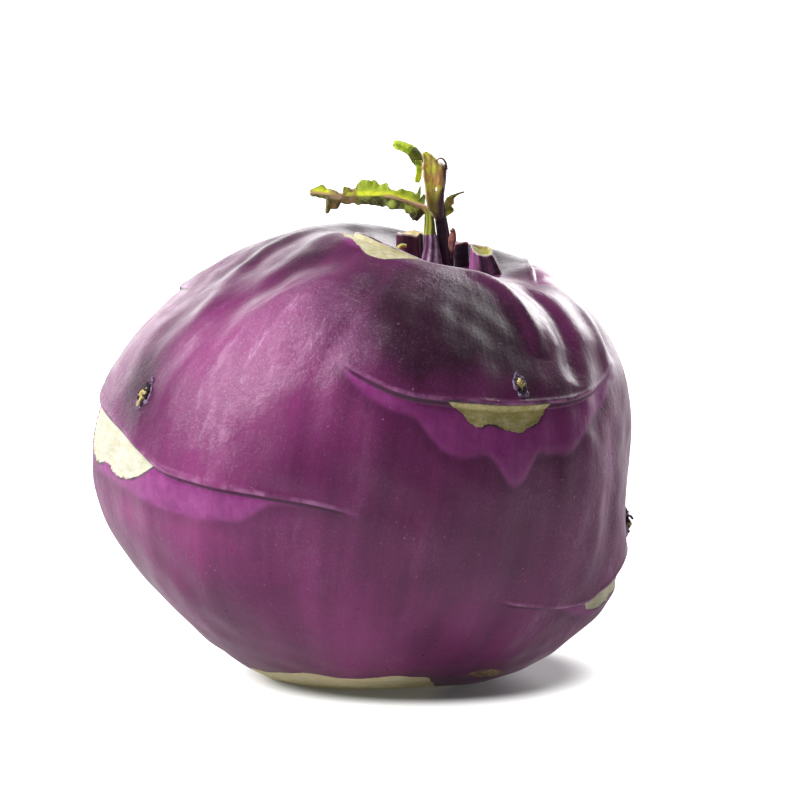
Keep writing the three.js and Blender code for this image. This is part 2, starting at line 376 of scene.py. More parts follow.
def scar_relief(scar, azimuth, polar):
    below, zone, face, fade = scar_fields(scar, azimuth, polar)
    strength = fade ** 1.1
    half_width = np.where(below < 0, LEDGE_RISE, LEDGE_DROP)
    ledge = bell(below, scar["ledge"], 0, half_width)
    skirt = SKIRT_HEIGHT * smooth(zone, -0.8, 1.8)
    dish = -FACE_DEPTH * smooth(face, 0, 0.5)
    return strength * (ledge + bell(below, *LIP) + bell(below, *CREASE)) + skirt + dish


def patches(directions, table):
    """Sum of round patches, each (azimuth, polar, width in degrees, amount), in those directions."""
    total = np.zeros(directions.shape[:-1])
    for azimuth, polar, width, amount in table:
        away = np.degrees(np.arccos(np.clip(directions @ direction_of(azimuth, polar), -1, 1)))
        total += bell(away, amount, 0, width)
    return total


def stem_radius(azimuth, polar):
    """Distance from the stem's centre to its skin."""
    directions = direction_of(azimuth, polar)
    sine = np.sin(np.radians(polar))
    half_height = np.where(directions[..., 2] > 0, CROWN_RADIUS, HEEL_RADIUS)
    side = np.abs(sine) / SIDE_RADIUS
    height = np.abs(directions[..., 2]) / half_height
    radius = (side ** SQUARENESS + height ** SQUARENESS) ** (-1 / SQUARENESS)
    radius -= LOPSIDED * sine ** 2 * np.sin(np.radians(azimuth))
    radius += patches(directions, SWELLS)
    for path, half_width, fold in FOLDS:
        gap, along = distance_to_path(directions, path)
        radius += bell(gap, fold, 0, half_width) * (1 - np.abs(2 * along - 1) ** 3)
    for scar in SCARS:
        radius += scar_relief(scar, azimuth, polar)
    radius -= HOLLOW_DEPTH * np.exp(-(polar / HOLLOW_SPREAD) ** 4)
    skin = directions * SKIN_RADIUS
    radius += 0.25 * waves(skin, 24, seed=1) + 0.06 * waves(skin, 7, seed=2)
    ribs = np.stack([skin[..., 0], skin[..., 1], polar * 0.1], -1)
    radius += 0.06 * waves(ribs, 5, seed=3) * smooth(polar, 20, 60) * (1 - smooth(polar, 120, 150))
    return radius


def leaned(points):
    """Turns points of the upright stem to lean as it does, and puts them in their place."""
    cosine, sine = np.cos(LEAN), np.sin(LEAN)
    x = points[..., 0] * cosine + points[..., 2] * sine
    z = -points[..., 0] * sine + points[..., 2] * cosine
    return np.stack([x, points[..., 1], z], -1) + STEM_CENTRE


def skin_point(azimuth, polar, lift=0.0):
    azimuth, polar = np.asarray(azimuth, float), np.asarray(polar, float)
    radius = stem_radius(azimuth, polar) + lift
    return leaned(direction_of(azimuth, polar) * radius[..., None])


def angles_of(points):
    """Azimuth and polar angle of points about the stem's leaning axis."""
    cosine, sine = np.cos(LEAN), np.sin(LEAN)
    away = points - STEM_CENTRE
    x = away[..., 0] * cosine - away[..., 2] * sine
    z = away[..., 0] * sine + away[..., 2] * cosine
    length = np.linalg.norm(away, axis=-1)
    return np.degrees(np.arctan2(x, -away[..., 1])), np.degrees(np.arccos(np.clip(z / length, -1, 1)))


def seated(points, lift=0.0):
    """Moves points in or out until they are at that height above the skin."""
    azimuth, polar = angles_of(points)
    return skin_point(azimuth, polar, lift)


# ---------------------------------------------------------------- meshes

# A part is a dictionary: vertices (n, 3), faces (tuples of indices), values {name: one per vertex}.


def grid_faces(rows, columns, wrap=False):
    faces = []
    last = columns if wrap else columns - 1
    for row in range(rows - 1):
        for column in range(last):
            right = (column + 1) % columns
            faces.append((row * columns + column, row * columns + right,
                          (row + 1) * columns + right, (row + 1) * columns + column))
    return faces


def closed_rings(rings, values=None):
    """A closed part from rings of points, foot to tip, each end filled from its middle."""
    rows, columns = rings.shape[:2]
    vertices = list(rings.reshape(-1, 3)) + [rings[0].mean(0), rings[-1].mean(0)]
    faces = grid_faces(rows, columns, wrap=True)
    foot, tip = rows * columns, rows * columns + 1
    for column in range(columns):
        right = (column + 1) % columns
        faces.append((foot, right, column))
        faces.append((tip, (rows - 1) * columns + column, (rows - 1) * columns + right))
    filled = {}
    for name, grid in (values or {}).items():
        grid = np.broadcast_to(grid, (rows, columns))
        filled[name] = np.concatenate([grid.ravel(), [grid[0].mean(), grid[-1].mean()]])
    return {"vertices": np.array(vertices), "faces": faces, "values": filled}


def joined(parts):
    vertices, faces, values = [], [], {}
    names = sorted({name for part in parts for name in part["values"]})
    for part in parts:
        start = sum(len(v) for v in vertices)
        vertices.append(part["vertices"])
        faces += [tuple(start + index for index in face) for face in part["faces"]]
        for name in names:
            row = part["values"].get(name, np.zeros(len(part["vertices"])))
            values.setdefault(name, []).append(row)
    return {"vertices": np.concatenate(vertices), "faces": faces,
            "values": {name: np.concatenate(rows) for name, rows in values.items()}}


def thickened(part, thickness):
    """Gives an open sheet two sides and a rim."""
    vertices, faces = part["vertices"], part["faces"]
    normals = np.zeros_like(vertices)
    for face in faces:
        corners = vertices[list(face)]
        normal = np.cross(corners[2] - corners[0], corners[-1] - corners[1])
        for index in face:
            normals[index] += normal
    normals /= np.linalg.norm(normals, axis=1, keepdims=True) + 1e-12
    half = np.broadcast_to(thickness, len(vertices))[:, None] / 2
    count = len(vertices)
    edges = {}
    for face in faces:
        for start, end in zip(face, face[1:] + face[:1]):
            edges[(start, end)] = True
    rim = [(end, start, start + count, end + count)
           for start, end in edges if (end, start) not in edges]
    under = [tuple(index + count for index in reversed(face)) for face in faces]
    doubled = {name: np.concatenate([row, row]) for name, row in part["values"].items()}
    return {"vertices": np.concatenate([vertices + normals * half, vertices - normals * half]),
            "faces": list(faces) + under + rim, "values": doubled}


def make_object(name, part, material):
    mesh = bpy.data.meshes.new(name)
    mesh.from_pydata(((part["vertices"] + OFFSET) * MM).tolist(), [], part["faces"])
    for value_name, row in part["values"].items():
        row = np.asarray(row, np.float32)
        if row.ndim == 2:
            layer = mesh.attributes.new(value_name, "FLOAT_VECTOR", "POINT")
            layer.data.foreach_set("vector", row.ravel())
        else:
            layer = mesh.attributes.new(value_name, "FLOAT", "POINT")
            layer.data.foreach_set("value", row)
    mesh.polygons.foreach_set("use_smooth", np.ones(len(mesh.polygons), bool))
    mesh.materials.append(material)
    mesh.update()
    item = bpy.data.objects.new(name, mesh)
    bpy.context.scene.collection.objects.link(item)
    return item


def tidy_normals(item):
    """Merges stray doubles and turns every face outward."""
    shell = bmesh.new()
    shell.from_mesh(item.data)
    bmesh.ops.remove_doubles(shell, verts=shell.verts, dist=1e-3 * MM)
    bmesh.ops.recalc_face_normals(shell, faces=shell.faces)
    shell.to_mesh(item.data)
    shell.free()


def add_piece(name, part, material, node):
    item = make_object(name, part, material)
    tidy_normals(item)
    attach(item, "root")
    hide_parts(node)
    return item


# ---------------------------------------------------------------- the swollen stem


def stem_rows(azimuth):
    """Polar angles of one column of the stem's mesh, packed close where a scar is crossed."""
    fine = np.linspace(0.4, 179.6, 1800)
    density = np.ones_like(fine)
    for scar in SCARS:
        below, zone, face, fade = scar_fields(scar, azimuth, fine)
        density += 7 * fade * np.exp(-(below / 1.2) ** 2)
        density += 2 * fade * np.exp(-(zone / 1.0) ** 2) * (below > 0)
    reached = np.cumsum(density)
    return np.interp(np.linspace(reached[0], reached[-1], STEM_ROWS), reached, fine)


def heel_field(azimuth, polar):
    """Length inside the pale cut heel."""
    skin = direction_of(azimuth, polar) * SKIN_RADIUS
    return (polar - curve_through(azimuth, HEEL_EDGE)) * DEGREE + 0.2 * waves(skin, 7, seed=5)


def flake_field(azimuth, polar):
    """Share of the way from the edge of the nearest flake to its middle."""
    inside = np.full(np.shape(polar), -9.0)
    for flake_azimuth, flake_polar, half_width, half_height in FLAKES:
        across = (azimuth - flake_azimuth) * DEGREE * np.sin(np.radians(flake_polar)) / half_width
        up = (polar - flake_polar) * DEGREE / half_height
        inside = np.maximum(inside, 1 - np.hypot(across, up))
    return inside


def stem_part():
    azimuths = np.linspace(-180, 180, STEM_COLUMNS, endpoint=False)
    polar = np.stack([stem_rows(azimuth) for azimuth in azimuths], 1)
    azimuth = np.broadcast_to(azimuths, polar.shape)
    points = skin_point(azimuth, polar)
    points[..., 2] = np.maximum(points[..., 2], 0)
    zone, face, line = (np.full(polar.shape, -50.0) for _ in range(3))
    edge, dryness = np.zeros(polar.shape), np.zeros(polar.shape)
    for scar in SCARS:
        below, in_zone, in_face, fade = scar_fields(scar, azimuth, polar)
        zone = np.maximum(zone, in_zone)
        dryness = np.where(in_face > face, scar["dryness"], dryness)
        face = np.maximum(face, in_face)
        nearer = (np.abs(below) < np.abs(line)) & (fade > 0)
        line = np.where(nearer, below, line)
        edge = np.where(nearer, fade, edge)
    # Distance to the path of the painted rim highlight.
    rim, along = distance_to_path(direction_of(azimuth, polar), RIM_HIGHLIGHT_PATH)
    grids = {
        "scar_zone": zone, "scar_face": face, "scar_line": line, "scar_fade": edge, "dryness": dryness,
        "heel": heel_field(azimuth, polar), "flake": flake_field(azimuth, polar),
        "rim": rim + smooth(np.abs(2 * along - 1), 0.4, 1.0),
        # Tone patches hold painted shade and painted light as well as tone; bloom patches also hold a
        # painted highlight.
        "tone": painted(azimuth, polar, TONES_AND_SHADE, 0.1, 18, seed=7),
        "bloom": painted(azimuth, polar, BLOOMS_AND_SHEEN, 0.08, 12, seed=8)}
    part = closed_rings(points[::-1], {name: grid[::-1] for name, grid in grids.items()})
    spread = np.radians(azimuth)
    grain = np.stack([SKIN_RADIUS * np.sin(spread), SKIN_RADIUS * np.cos(spread), polar * DEGREE], -1)
    ends = [[0, 0, 180 * DEGREE], [0, 0, 0]]
    part["values"]["grain"] = np.concatenate([grain[::-1].reshape(-1, 3), ends])
    return part


def painted(azimuth, polar, table, unevenness, wavelength, seed):
    """Patches of colour, painted shade and painted light, or waxy bloom and a painted highlight, with
    uneven edges.
    """
    directions = direction_of(azimuth, polar)
    return patches(directions, table) + unevenness * waves(directions * SKIN_RADIUS, wavelength, seed)


def measure_offset():
    """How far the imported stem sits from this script's own numbers."""
    azimuth, polar = np.meshgrid(np.arange(-180, 180, 2.0), np.arange(4, 178, 2.0))
    points = skin_point(azimuth, polar).reshape(-1, 3)
    low, high = (np.array(corner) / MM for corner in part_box("swollen_stem"))
    middle = (points.min(0) + points.max(0)) / 2
    offset = (low + high) / 2 - middle
    offset[2] = low[2]
    return offset


OFFSET = measure_offset()

# ---------------------------------------------------------------- stalks, leaves, stubs and buds


def evenly(values):
    return list(zip(np.linspace(0, 1, len(values)), values))


def spine_frames(spine, across, steps):
    """Points along a smooth spine, with the width and thickness directions of the section at each."""
    corners = np.array(spine, float)
    reached = np.concatenate([[0], np.cumsum(np.linalg.norm(np.diff(corners, axis=0), axis=1))])
    t = np.linspace(0, 1, steps)
    points = np.stack([curve_through(t * reached[-1], list(zip(reached, axis))) for axis in corners.T], 1)
    tangents = np.gradient(points, axis=0)
    tangents /= np.linalg.norm(tangents, axis=1, keepdims=True)
    first, last = np.array(across, float)
    wide = first + (last - first) * t[:, None]
    wide -= (wide * tangents).sum(1, keepdims=True) * tangents
    wide /= np.linalg.norm(wide, axis=1, keepdims=True)
    return t, points, wide, np.cross(tangents, wide)


def swept(spine, width, thickness, across, ribs=0, rib_height=0.0, sides=48, steps=60, rooted=True,
          wobble=0.0):
    """A closed stalk along a spine, with ribs along it."""
    t, points, wide, thick = spine_frames(spine, across, steps)
    angle = np.linspace(0, 2 * np.pi, sides, endpoint=False)
    rib = np.cos(ribs * angle + 0.6)
    ribbing = 1 + rib_height * rib
    half_width = curve_through(t, evenly(width))[:, None] * ribbing
    half_thickness = curve_through(t, evenly(thickness))[:, None] * ribbing
    rings = (points[:, None] + wide[:, None] * (np.cos(angle) * half_width)[..., None]
             + thick[:, None] * (np.sin(angle) * half_thickness)[..., None])
    if wobble:
        rings += wobble * np.stack([waves(rings, 3.5, seed) for seed in (11, 12, 13)], -1)
    if rooted:
        rings[0] = seated(rings[0], -ROOT_DEPTH)
    return closed_rings(rings, {"along": t[:, None], "rib": rib, "turn": np.cos(angle)})


def margin(t, table, teeth=0.0, pitch=0.04, seed=0):
    """Half width of a leaf at t from a few (t, width) points, with small teeth."""
    ts, widths = np.array(table, float).T
    width = np.interp(t, ts, widths)
    random = np.random.default_rng(seed)
    peaks = np.cumsum(random.uniform(0.6, 1.4, 80)) * pitch
    saw = 1 - np.abs(np.interp(t, peaks, np.arange(len(peaks)) % 2 * 2 - 1))
    return np.maximum(width * (1 + teeth * (saw - 0.5)), 0.02)


def blade(spine, across, left, right, fold=(0, 0), crinkle=0.2, teeth=0.1, thickness=0.28,
          rows=110, columns=31, seed=0, hole=None, curl=(0, 0)):
    """A leaf blade: a thin crinkled sheet either side of its midrib. fold turns each half about the
    midrib in degrees and curl bends its margin further; teeth is the depth of the margins' teeth, one
    number or one for each side; hole is (t, share across, size)."""
    t, points, wide, thick = spine_frames(spine, across, rows)
    share = np.linspace(-1, 1, columns)
    left_teeth, right_teeth = np.broadcast_to(teeth, 2)
    left_width = margin(t, left, left_teeth, seed=seed)
    right_width = margin(t, right, right_teeth, seed=seed + 1)
    width = np.where(share < 0, left_width[:, None], right_width[:, None])
    turned = np.where(share < 0, fold[0] + curl[0] * share ** 2, fold[1] + curl[1] * share ** 2)
    angle = np.radians(turned)
    reach = np.abs(share) * width
    sign = np.sign(share)
    grid = (points[:, None] + wide[:, None] * (sign * reach * np.cos(angle))[..., None]
            + thick[:, None] * (reach * np.sin(angle))[..., None])
    ripple = waves(grid, 2.2, seed + 3) * np.abs(share) + 0.5 * waves(grid, 1.1, seed + 4) * share ** 2
    grid += thick[:, None] * (crinkle * ripple)[..., None]
    faces = grid_faces(rows, columns)
    if hole:
        centre_t, centre_share, size = hole
        away = np.hypot((t[:, None] - centre_t) / size[0], (share - centre_share) / size[1]).ravel()
        faces = [face for face in faces if away[face[0]] > 1]
    length = np.linalg.norm(np.diff(points, axis=0), axis=1).sum()
    along = np.repeat(t, columns)
    values = {"along": along,
              "length": along * length,
              "across": (sign * reach).ravel(),
              "rim": (width - reach).ravel()}
    sheet = {"vertices": grid.reshape(-1, 3), "faces": faces, "values": values}
    return thickened(sheet, thickness)


def with_value(part, name, value):
    part["values"][name] = np.full(len(part["vertices"]), float(value))
    return part


def upright_leaf_part():
    """Dark stalk that opens into a rolled olive blade, and its green tip, bent over to the left."""
    stalk = swept(
        [
            (13.4, -0.6, 69.2), (13.15, -0.6, 73), (12.75, -0.5, 76.2), (12.4, -0.4, 78.5),
            (12.4, -0.2, 80.6), (12.6, 0, 82.6)],
        [1.45, 1.3, 1.05, 0.95, 0.75, 0.2],
        [1.2, 1.1, 0.95, 0.85, 0.6, 0.2],
        [(1, 0, 0), (1, 0, 0)],
        ribs=6, rib_height=0.05)
    rolled = blade(
        [
            (12.3, -1.5, 77.0), (12.0, -1.7, 79.3), (11.7, -1.4, 81.8), (11.5, -1.1, 84.1),
            (11.2, -1.0, 86.2), (10.6, -1.0, 87.5), (9.7, -1.0, 88.5)],
        [(1, 0, 0), (1, 0, 0)],
        [
            (0, 0.3), (0.1, 1.0), (0.2, 1.8), (0.32, 2.0), (0.5, 1.95), (0.7, 2.1), (0.82, 1.9),
            (0.9, 1.2), (1, 0.35)],
        [
            (0, 0.6), (0.12, 1.0), (0.25, 1.3), (0.4, 1.7), (0.56, 2.3), (0.7, 2.65), (0.745, 2.5),
            (0.78, 1.5), (0.84, 1.15), (0.92, 0.75), (1, 0.25)],
        fold=(-8, -10), curl=(-26, 52), crinkle=0.14, teeth=0.02, seed=20,
        hole=(0.45, 0.03, (0.028, 0.09)))
    tip = blade(
        [
            (9.2, -1.0, 86.6), (8.6, -1.2, 87.8), (7.6, -1.3, 88.75), (6.6, -1.2, 89.35),
            (5.7, -1.1, 89.7), (4.7, -1.0, 89.95)],
        [(0.85, 0, 0.5), (0.25, 0, 1)],
        [
            (0, 0.9), (0.2, 1.25), (0.36, 1.1), (0.46, 0.85), (0.56, 0.8), (0.75, 0.85), (0.9, 0.8),
            (1, 0.4)],
        [
            (0, 0.9), (0.25, 1.1), (0.4, 1.25), (0.47, 0.9), (0.5, 1.25), (0.62, 1.0), (0.8, 0.85),
            (0.93, 0.75), (1, 0.4)],
        fold=(-30, 35), curl=(10, 10), crinkle=0.1, teeth=0.04, seed=24, rows=90, columns=25)
    lobe = blade(
        [(8.9, -1.5, 87.2), (8.95, -1.7, 86.0), (8.85, -1.7, 84.8), (8.75, -1.6, 83.6)],
        [(1, 0.2, 0), (1, 0.3, 0)],
        [(0, 0.7), (0.3, 0.55), (0.6, 0.5), (0.8, 0.65), (0.95, 0.6), (1, 0.3)],
        [(0, 0.6), (0.4, 0.6), (0.8, 0.6), (0.95, 0.45), (1, 0.2)],
        fold=(20, -25), crinkle=0.1, teeth=0.03, seed=28, rows=50, columns=17)
    loop = swept(
        [
            (11.75, -1.0, 86.9), (12.1, -1.0, 87.4), (12.7, -0.9, 87.5), (13.25, -0.7, 86.9),
            (13.45, -0.5, 85.6)],
        [0.1, 0.13, 0.16, 0.2, 0.26],
        [0.1, 0.13, 0.16, 0.2, 0.26],
        [(0, 1, 0), (0, 1, 0)],
        sides=12, steps=40, rooted=False)
    greens = ((stalk, 0), (rolled, 0.5), (tip, 1), (lobe, 1.2), (loop, 0))
    return joined([with_value(part, "green", green) for part, green in greens])


# Margins of the left leaf, foot to tip: (share of its length, width either side of the midrib).
LOWER_MARGIN = [
    (0, 2.2), (0.03, 2.7), (0.07, 2.8), (0.10, 2.4), (0.14, 1.9), (0.17, 2.1), (0.2, 1.85), (0.25, 1.85),
    (0.29, 2.1), (0.32, 2.1), (0.36, 1.7), (0.45, 1.5), (0.6, 1.45), (0.7, 1.45), (0.74, 1.3),
    (0.77, 2.2), (0.815, 2.2), (0.83, 2.9), (0.845, 3.3), (0.853, 1.4), (0.865, 0.65), (0.93, 0.75),
    (0.975, 0.8), (1, 0.2)]
UPPER_MARGIN = [
    (0, 0.2), (0.04, 0.6), (0.055, 2.3), (0.075, 2.6), (0.085, 1.2), (0.093, 3.6), (0.102, 4.3),
    (0.11, 2.6), (0.14, 2.4), (0.2, 2.2), (0.25, 1.95), (0.32, 1.5), (0.35, 1.7), (0.365, 2.6),
    (0.39, 2.3), (0.42, 2.7), (0.46, 3.0), (0.475, 3.3), (0.49, 2.7), (0.53, 2.9), (0.567, 3.2),
    (0.58, 2.6), (0.605, 2.3), (0.61, 1.7), (0.66, 1.8), (0.7, 1.9), (0.715, 2.1), (0.73, 0.8),
    (0.79, 0.8), (0.84, 1.0), (0.9, 1.2), (0.95, 1.15), (0.985, 0.8), (1, 0.1)]


def left_leaf_part():
    """Ribbed lavender foot, green stalk, and a lobed yellow-green blade that bends over to the left."""
    foot_and_stalk = swept(
        [
            (10.8, -2.2, 69.2), (10.95, -2.0, 71), (10.95, -1.8, 73), (10.75, -1.6, 75),
            (10.65, -1.3, 77.2), (10.4, -1.2, 78.6), (9.7, -1.3, 79.4), (8.3, -1.5, 79.9),
            (6.6, -1.7, 80.6), (4.4, -1.8, 81.2), (2.2, -1.9, 81.5)],
        [1.9, 1.6, 1.25, 1.05, 0.85, 0.7, 0.45, 0.3, 0.2, 0.14, 0.08],
        [1.2, 1.1, 1.0, 0.9, 0.8, 0.6, 0.4, 0.26, 0.18, 0.12, 0.08],
        [(1, 0.1, 0), (0, 1, 0)],
        ribs=7, rib_height=0.11, steps=130)
    leaf = blade(
        [
            (10.0, -1.3, 78.6), (9.3, -1.4, 79.4), (8.0, -1.5, 79.95), (6.6, -1.7, 80.5),
            (4.4, -1.8, 81.2), (1, -2, 81.4), (-4, -2.1, 81.4), (-6.5, -2.1, 81.7), (-9, -2.2, 82.1)],
        [(0, 1, 0), (0, 1, 0)],
        LOWER_MARGIN,
        UPPER_MARGIN,
        fold=(48, -40), curl=(14, -6), crinkle=0.16, teeth=(0.01, 0.05), seed=30, rows=230, columns=37)
    return joined([with_value(foot_and_stalk, "green", 0.3), with_value(leaf, "green", 1)])


def small_leaf_part():
    """A very small leaf on a thin stalk."""
    stalk = swept(
        [(13.6, 1.9, 69.4), (13.2, 1.7, 74.5), (13.1, 1.5, 77.4), (13.4, 1.3, 79)],
        [0.5, 0.4, 0.35, 0.25],
        [0.5, 0.4, 0.3, 0.2],
        [(1, 0, 0), (1, 0, 0)],
        sides=20, steps=40)
    leaf = blade(
        [
            (13.2, 1.3, 77.6), (13.5, 1.3, 78.8), (14.0, 1.2, 80.0), (14.7, 1.1, 80.9), (15.5, 1.1, 81.4),
            (16.4, 1, 81.7)],
        [(1, 0.3, -0.2), (0.3, 0, -1)],
        [(0, 0.2), (0.3, 0.5), (0.5, 0.8), (0.6, 0.5), (0.75, 0.2), (1, 0.06)],
        [(0, 0.3), (0.1, 0.9), (0.2, 1.3), (0.3, 1.2), (0.36, 0.5), (0.5, 0.7), (0.62, 0.3), (1, 0.05)],
        fold=(20, -20), crinkle=0.12, teeth=0.05, seed=40, rows=70, columns=19)
    return joined([stalk, leaf])


def dried_tip_part():
    """A small dried leaf, hollow towards the stalk, hooked at its tip."""
    return blade(
        [
            (14.5, -1.6, 69.0), (14.4, -1.7, 71.4), (14.5, -1.9, 73.2), (14.75, -2.1, 74.8),
            (14.5, -2.2, 75.9), (14.0, -2.3, 75.7)],
        [(1, 0, 0), (1, 0.3, 0.4)],
        [(0, 0.3), (0.4, 0.35), (0.5, 0.7), (0.66, 1.0), (0.8, 0.75), (0.92, 0.35), (1, 0.1)],
        [(0, 0.3), (0.4, 0.35), (0.5, 0.6), (0.66, 0.75), (0.8, 0.45), (0.92, 0.25), (1, 0.1)],
        fold=(30, 30), curl=(20, 20), crinkle=0.1, teeth=0.02, seed=44, rows=70, columns=19,
        thickness=0.22)


def cut_tip_part():
    """A small pale leaf tip, cut off, that leans to the right."""
    return swept(
        [(5.0, -0.9, 69.8), (5.1, -0.8, 71.4), (5.5, -0.7, 72.4), (6.2, -0.6, 72.9), (6.9, -0.6, 72.9)],
        [0.5, 0.55, 0.5, 0.42, 0.3],
        [0.5, 0.45, 0.4, 0.4, 0.25],
        [(1, 0, 0), (0, 0, 1)],
        ribs=5, rib_height=0.1, sides=24, steps=40, wobble=0.06)


def stub_part(foot, top, half_width, half_depth, turn, tilt, slant, spread, ribs, seed):
    """A cut leaf stalk: ribbed wall, pale rim and a ragged cut top. turn is the azimuth that its
    broad outer face looks to; tilt slopes the cut towards that side and slant towards its right;
    spread is how much wider the foot is than the top."""
    angle = np.linspace(0, 2 * np.pi, 96, endpoint=False)
    facing = radians(turn)
    outward = np.array([np.sin(facing), -np.cos(facing), 0])
    sideways = np.array([np.cos(facing), np.sin(facing), 0])
    upward = np.array([0, 0, 1])
    u = np.sign(np.cos(angle)) * np.abs(np.cos(angle)) ** 0.8
    v = np.sign(np.sin(angle)) * np.abs(np.sin(angle)) ** 0.8
    ribbing = 1 + 0.05 * np.cos(ribs * angle) * (np.sin(angle) > -0.3)
    section = (sideways * (u * half_width * ribbing)[:, None]
               + outward * (v * half_depth * ribbing)[:, None])
    foot, top = np.array(foot, float), np.array(top, float)
    ragged = 0.2 * waves(section, 3.5, seed) + 0.05 * waves(section, 1.2, seed + 1)
    slope = (ragged - np.tan(radians(tilt)) * (section @ outward)
             - np.tan(radians(slant)) * (section @ sideways))
    rings, cut, along = [], [], []
    for share in np.linspace(0, 1, 30):
        ring = foot + (top - foot) * share + section * (1 + spread * (1 - share))
        rings.append(ring + upward * (slope * share ** 2)[:, None])
        cut.append(0.0)
        along.append(share)
    for inset, drop in ((0.94, -0.05), (0.88, 0.10), (0.75, 0.30), (0.5, 0.42), (0.25, 0.45)):
        bumps = 0.12 * waves(section * inset, 0.8, seed + 2) * (1 - inset)
        rings.append(top + section * inset + upward * (slope * inset - drop + bumps)[:, None])
        cut.append((1 - inset) / 0.75)
        along.append(1.0)
    rings[0] = seated(rings[0], -ROOT_DEPTH)
    return closed_rings(np.array(rings), {
        "cut": np.array(cut)[:, None], "along": np.array(along)[:, None],
        "rib": np.cos(ribs * angle), "turn": np.cos(angle)})


def small_lump(centre, axes, sizes, seed):
    """A crumpled closed lump with half sizes along three axes."""
    rows, columns = 12, 18
    polar = np.radians(np.linspace(8, 172, rows))[:, None]
    turn = np.radians(np.linspace(0, 360, columns, endpoint=False))[None, :]
    local = np.stack([
        np.sin(polar) * np.cos(turn), np.sin(polar) * np.sin(turn), np.cos(polar) + 0 * turn], -1)
    local = local * (1 + 0.18 * waves(local, 0.9, seed))[..., None]
    return closed_rings(centre + (local * sizes) @ np.array(axes))


def collar_part(base, axes, half_width, half_height, seed):
    """The thin cracked collar of a bud: a lens-shaped ring, pointed at its top."""
    sideways, upward, outward = axes
    sides, around_count = 90, 12
    turn = np.linspace(0, 2 * np.pi, sides, endpoint=False)[:, None]
    around = np.linspace(0, 2 * np.pi, around_count, endpoint=False)[None, :]
    pointed = 1 + 0.3 * np.clip(np.sin(turn), 0, 1) ** 8
    lens = np.sign(np.cos(turn)) * np.abs(np.cos(turn)) ** 1.15
    middle = (base + sideways * (half_width * lens)[..., None]
              + upward * (half_height * np.sin(turn) * pointed)[..., None])
    middle += sideways * (0.12 * waves(middle, 1.6, seed + 50))[..., None]
    thick = 0.2 * (1 + 0.45 * waves(middle, 1.1, seed))
    radial = sideways * np.cos(turn)[..., None] + upward * np.sin(turn)[..., None]
    points = (seated(middle, 0.03) + radial * (thick * np.cos(around) * 1.5)[..., None]
              + outward * (thick * np.sin(around))[..., None])
    faces = [tuple(index % (sides * around_count) for index in face)
             for face in grid_faces(sides + 1, around_count, wrap=True)]
    rim = np.broadcast_to(0.6 + 0.4 * np.sin(around), (sides, around_count)).ravel()
    return {"vertices": points.reshape(-1, 3), "faces": faces, "values": {"rim": rim}}


def bud_part(azimuth, polar, half_width, half_height, rise, seed):
    """A dormant bud: a thin cracked collar, a dark heart, pointed scales and dry yellow crumbs."""
    random = np.random.default_rng(seed)
    base = skin_point(azimuth, polar)
    outward = leaned(direction_of(azimuth, polar)) - STEM_CENTRE
    upward = np.array([0, 0, 1.0]) - outward[2] * outward
    upward /= np.linalg.norm(upward)
    sideways = np.cross(upward, outward)
    axes = [sideways, upward, outward]
    heart = small_lump(base, axes, np.array([half_width, half_height, 0.3]) * 0.92, seed + 9)
    parts = [collar_part(base, axes, half_width, half_height, seed), with_value(heart, "dark", 1.0)]
    scale_width = [(0, 0.35), (0.4, 0.4), (1, 0.06)]
    scales = 9
    for k in range(scales):
        lean = 2 * np.pi * k / scales + random.uniform(-0.25, 0.25)
        edge = sideways * np.cos(lean) * half_width + upward * np.sin(lean) * half_height
        start = seated(base + edge * 0.95, -0.1)
        end = base + edge * random.uniform(0.3, 0.6) + outward * rise * random.uniform(0.5, 1.0)
        over = (start + end) / 2 + outward * rise * 0.3
        scale = blade([start, over, end], [np.cross(outward, edge)] * 2, scale_width, scale_width,
                      fold=(20, 20), crinkle=0.08, rows=14, columns=9, thickness=0.12, seed=seed + k)
        parts.append(with_value(scale, "rim", 0.25))
    for k in range(6):
        across = random.uniform(-0.5, 0.5)
        spot = base + sideways * across * half_width + outward * rise * random.uniform(0.25, 0.6)
        spot = spot + upward * random.uniform(-0.65, 0.4) * half_height
        sizes = np.array([0.3, 0.5, 0.3]) * half_width * random.uniform(0.6, 1.3)
        leaning = [sideways + upward * across, upward - sideways * across, outward]
        lump = small_lump(spot, leaning, sizes, seed + 20 + k)
        parts.append(with_value(lump, "crumb", 1.0))
    return joined(parts)


# ---------------------------------------------------------------- shader helpers


def linear(red, green, blue):
    """A display colour (0 to 255) as the linear colour that shaders take."""
    shares = np.array([red, green, blue]) / 255
    curve = np.where(shares <= 0.04045, shares / 12.92, ((shares + 0.055) / 1.055) ** 2.4)
    return (*curve, 1.0)


class Value:
    """A number, vector or colour that varies over a surface. Arithmetic on it adds nodes."""

    def __init__(self, nodes, socket):
        self.nodes = nodes
        self.socket = socket

    def __add__(self, other):
        return self.nodes.maths("ADD", self, other)

    def __sub__(self, other):
        return self.nodes.maths("SUBTRACT", self, other)

    def __mul__(self, other):
        return self.nodes.maths("MULTIPLY", self, other)

    def __abs__(self):
        return self.nodes.maths("ABSOLUTE", self)

    def step(self, low, high, bottom=0.0, top=1.0):
        """A smooth step from bottom to top as this value goes from low to high."""
        return self.nodes.add("ShaderNodeMapRange", "Result", {
            "Value": self, "From Min": low, "From Max": high, "To Min": bottom, "To Max": top,
        }, interpolation_type="SMOOTHSTEP")


